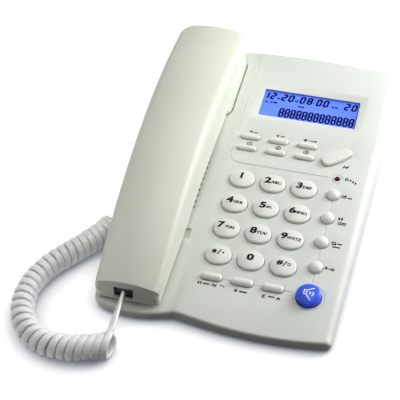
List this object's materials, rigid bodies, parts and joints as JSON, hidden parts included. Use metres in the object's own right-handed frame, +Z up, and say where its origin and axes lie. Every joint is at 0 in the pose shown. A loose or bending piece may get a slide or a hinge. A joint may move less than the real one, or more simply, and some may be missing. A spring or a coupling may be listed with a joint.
{
  "type": "corded landline phone",
  "caption": "Desk telephone with a wedge-shaped base, dial keypad, blue display and hands-free key, a cradled handset and a curly handset cord.",
  "frame": {"origin": "on the table, under the middle of the base and handset seen from above", "axes": "+X to the right across the keypad, +Y away from the user towards the back edge, +Z up"},
  "size_m": [0.1938, 0.2722, 0.0687],
  "materials": {
    "ivory_shell": "satin moulded plastic, pearl ivory",
    "ivory_keys": "satin moulded plastic, warm ivory, black printed digits",
    "blue_key": "gloss plastic, strong blue",
    "display_glass": "clear blue-tinted acrylic",
    "display_panel": "backlit blue display with dark navy segments",
    "circuit_board": "green solder mask",
    "grey_rubber": "moulded silicone rubber",
    "speaker_cone": "black coated paper and steel",
    "red_lamp": "dark red lamp lens",
    "black_plastic": "black moulded plastic",
    "zinc_steel": "zinc-plated steel",
    "battery_wrap": "shrink-wrapped cell, plain",
    "contact_brass": "plated spring contact",
    "capsule_metal": "satin can",
    "clear_plug": "clear modular plug",
    "cord_vinyl": "glossy off-white vinyl"
  },
  "bodies": {
    "base": {"base_upper_housing": "ivory_shell", "base_lower_housing": "ivory_shell", "display_window": "display_glass", "display_module": "display_panel", "main_circuit_board": "circuit_board", "keypad_membrane": "grey_rubber", "loudspeaker": "speaker_cone", "in_use_lamp": "red_lamp", "hook_switch": "black_plastic", "base_handset_jack": "black_plastic", "line_jack": "black_plastic", "rubber_feet": "grey_rubber", "housing_screws": "zinc_steel", "battery_cover": "ivory_shell", "battery_cells": "battery_wrap", "battery_contacts": "contact_brass", "cord_tail": "cord_vinyl", "cord_coil": "cord_vinyl", "cord_lead": "cord_vinyl", "cord_plug_base": "clear_plug"},
    "handset": {"handset_outer_shell": "ivory_shell", "handset_inner_shell": "ivory_shell", "earpiece_capsule": "speaker_cone", "microphone_capsule": "capsule_metal", "handset_jack": "black_plastic", "handset_weight": "zinc_steel", "handset_screws": "zinc_steel", "cord_plug_handset": "clear_plug"},
    "hook_plunger_body": {"hook_plunger": "ivory_keys"},
    "key_1_body": {"key_1": "ivory_keys"},
    "key_2_body": {"key_2": "ivory_keys"},
    "key_3_body": {"key_3": "ivory_keys"},
    "key_4_body": {"key_4": "ivory_keys"},
    "key_5_body": {"key_5": "ivory_keys"},
    "key_6_body": {"key_6": "ivory_keys"},
    "key_7_body": {"key_7": "ivory_keys"},
    "key_8_body": {"key_8": "ivory_keys"},
    "key_9_body": {"key_9": "ivory_keys"},
    "key_star_body": {"key_star": "ivory_keys"},
    "key_0_body": {"key_0": "ivory_keys"},
    "key_hash_body": {"key_hash": "ivory_keys"},
    "key_menu_1_body": {"key_menu_1": "ivory_keys"},
    "key_menu_2_body": {"key_menu_2": "ivory_keys"},
    "key_menu_3_body": {"key_menu_3": "ivory_keys"},
    "key_menu_4_body": {"key_menu_4": "ivory_keys"},
    "key_menu_5_body": {"key_menu_5": "ivory_keys"},
    "key_menu_6_body": {"key_menu_6": "ivory_keys"},
    "key_hold_body": {"key_hold": "ivory_keys"},
    "key_flash_body": {"key_flash": "ivory_keys"},
    "key_redial_body": {"key_redial": "ivory_keys"},
    "key_side_1_body": {"key_side_1": "ivory_keys"},
    "key_side_2_body": {"key_side_2": "ivory_keys"},
    "key_side_3_body": {"key_side_3": "ivory_keys"},
    "key_side_4_body": {"key_side_4": "ivory_keys"},
    "key_leaf_body": {"key_leaf": "ivory_keys"},
    "key_speaker_body": {"key_speaker": "blue_key"}
  },
  "joints": [
    {"name": "handset_lift", "type": "slide", "parent": "base", "child": "handset", "axis": [0, -0.1736, 0.9848], "range_m": [0, 0.08]},
    {"name": "hook_plunger_rise", "type": "slide", "parent": "base", "child": "hook_plunger_body", "axis": [0, -0.1736, 0.9848], "range_m": [0, 0.0035]},
    {"name": "press_key_1", "type": "slide", "parent": "base", "child": "key_1_body", "axis": [0, -0.1736, 0.9848], "range_m": [-0.0012, 0], "stiffness_N_per_m": 300, "springref_m": 0.0004},
    {"name": "press_key_2", "type": "slide", "parent": "base", "child": "key_2_body", "axis": [0, -0.1736, 0.9848], "range_m": [-0.0012, 0], "stiffness_N_per_m": 300, "springref_m": 0.0004},
    {"name": "press_key_3", "type": "slide", "parent": "base", "child": "key_3_body", "axis": [0, -0.1736, 0.9848], "range_m": [-0.0012, 0], "stiffness_N_per_m": 300, "springref_m": 0.0004},
    {"name": "press_key_4", "type": "slide", "parent": "base", "child": "key_4_body", "axis": [0, -0.1736, 0.9848], "range_m": [-0.0012, 0], "stiffness_N_per_m": 300, "springref_m": 0.0004},
    {"name": "press_key_5", "type": "slide", "parent": "base", "child": "key_5_body", "axis": [0, -0.1736, 0.9848], "range_m": [-0.0012, 0], "stiffness_N_per_m": 300, "springref_m": 0.0004},
    {"name": "press_key_6", "type": "slide", "parent": "base", "child": "key_6_body", "axis": [0, -0.1736, 0.9848], "range_m": [-0.0012, 0], "stiffness_N_per_m": 300, "springref_m": 0.0004},
    {"name": "press_key_7", "type": "slide", "parent": "base", "child": "key_7_body", "axis": [0, -0.1736, 0.9848], "range_m": [-0.0012, 0], "stiffness_N_per_m": 300, "springref_m": 0.0004},
    {"name": "press_key_8", "type": "slide", "parent": "base", "child": "key_8_body", "axis": [0, -0.1736, 0.9848], "range_m": [-0.0012, 0], "stiffness_N_per_m": 300, "springref_m": 0.0004},
    {"name": "press_key_9", "type": "slide", "parent": "base", "child": "key_9_body", "axis": [0, -0.1736, 0.9848], "range_m": [-0.0012, 0], "stiffness_N_per_m": 300, "springref_m": 0.0004},
    {"name": "press_key_star", "type": "slide", "parent": "base", "child": "key_star_body", "axis": [0, -0.1736, 0.9848], "range_m": [-0.0012, 0], "stiffness_N_per_m": 300, "springref_m": 0.0004},
    {"name": "press_key_0", "type": "slide", "parent": "base", "child": "key_0_body", "axis": [0, -0.1736, 0.9848], "range_m": [-0.0012, 0], "stiffness_N_per_m": 300, "springref_m": 0.0004},
    {"name": "press_key_hash", "type": "slide", "parent": "base", "child": "key_hash_body", "axis": [0, -0.1736, 0.9848], "range_m": [-0.0012, 0], "stiffness_N_per_m": 300, "springref_m": 0.0004},
    {"name": "press_key_menu_1", "type": "slide", "parent": "base", "child": "key_menu_1_body", "axis": [0, -0.1736, 0.9848], "range_m": [-0.0012, 0], "stiffness_N_per_m": 300, "springref_m": 0.0004},
    {"name": "press_key_menu_2", "type": "slide", "parent": "base", "child": "key_menu_2_body", "axis": [0, -0.1736, 0.9848], "range_m": [-0.0012, 0], "stiffness_N_per_m": 300, "springref_m": 0.0004},
    {"name": "press_key_menu_3", "type": "slide", "parent": "base", "child": "key_menu_3_body", "axis": [0, -0.1736, 0.9848], "range_m": [-0.0012, 0], "stiffness_N_per_m": 300, "springref_m": 0.0004},
    {"name": "press_key_menu_4", "type": "slide", "parent": "base", "child": "key_menu_4_body", "axis": [0, -0.1736, 0.9848], "range_m": [-0.0012, 0], "stiffness_N_per_m": 300, "springref_m": 0.0004},
    {"name": "press_key_menu_5", "type": "slide", "parent": "base", "child": "key_menu_5_body", "axis": [0, -0.1736, 0.9848], "range_m": [-0.0012, 0], "stiffness_N_per_m": 300, "springref_m": 0.0004},
    {"name": "press_key_menu_6", "type": "slide", "parent": "base", "child": "key_menu_6_body", "axis": [0, -0.1736, 0.9848], "range_m": [-0.0012, 0], "stiffness_N_per_m": 300, "springref_m": 0.0004},
    {"name": "press_key_hold", "type": "slide", "parent": "base", "child": "key_hold_body", "axis": [0, -0.1736, 0.9848], "range_m": [-0.0012, 0], "stiffness_N_per_m": 300, "springref_m": 0.0004},
    {"name": "press_key_flash", "type": "slide", "parent": "base", "child": "key_flash_body", "axis": [0, -0.1736, 0.9848], "range_m": [-0.0012, 0], "stiffness_N_per_m": 300, "springref_m": 0.0004},
    {"name": "press_key_redial", "type": "slide", "parent": "base", "child": "key_redial_body", "axis": [0, -0.1736, 0.9848], "range_m": [-0.0012, 0], "stiffness_N_per_m": 300, "springref_m": 0.0004},
    {"name": "press_key_side_1", "type": "slide", "parent": "base", "child": "key_side_1_body", "axis": [0, -0.1736, 0.9848], "range_m": [-0.0012, 0], "stiffness_N_per_m": 300, "springref_m": 0.0004},
    {"name": "press_key_side_2", "type": "slide", "parent": "base", "child": "key_side_2_body", "axis": [0, -0.1736, 0.9848], "range_m": [-0.0012, 0], "stiffness_N_per_m": 300, "springref_m": 0.0004},
    {"name": "press_key_side_3", "type": "slide", "parent": "base", "child": "key_side_3_body", "axis": [0, -0.1736, 0.9848], "range_m": [-0.0012, 0], "stiffness_N_per_m": 300, "springref_m": 0.0004},
    {"name": "press_key_side_4", "type": "slide", "parent": "base", "child": "key_side_4_body", "axis": [0, -0.1736, 0.9848], "range_m": [-0.0012, 0], "stiffness_N_per_m": 300, "springref_m": 0.0004},
    {"name": "press_key_leaf", "type": "slide", "parent": "base", "child": "key_leaf_body", "axis": [0, -0.1736, 0.9848], "range_m": [-0.0012, 0], "stiffness_N_per_m": 300, "springref_m": 0.0004},
    {"name": "press_key_speaker", "type": "slide", "parent": "base", "child": "key_speaker_body", "axis": [0, -0.1736, 0.9848], "range_m": [-0.0012, 0], "stiffness_N_per_m": 300, "springref_m": 0.0004}
  ],
  "couplings": [
    {"joint": "hook_plunger_rise", "follows": "handset_lift", "ratio": 0.04375}
  ]
}
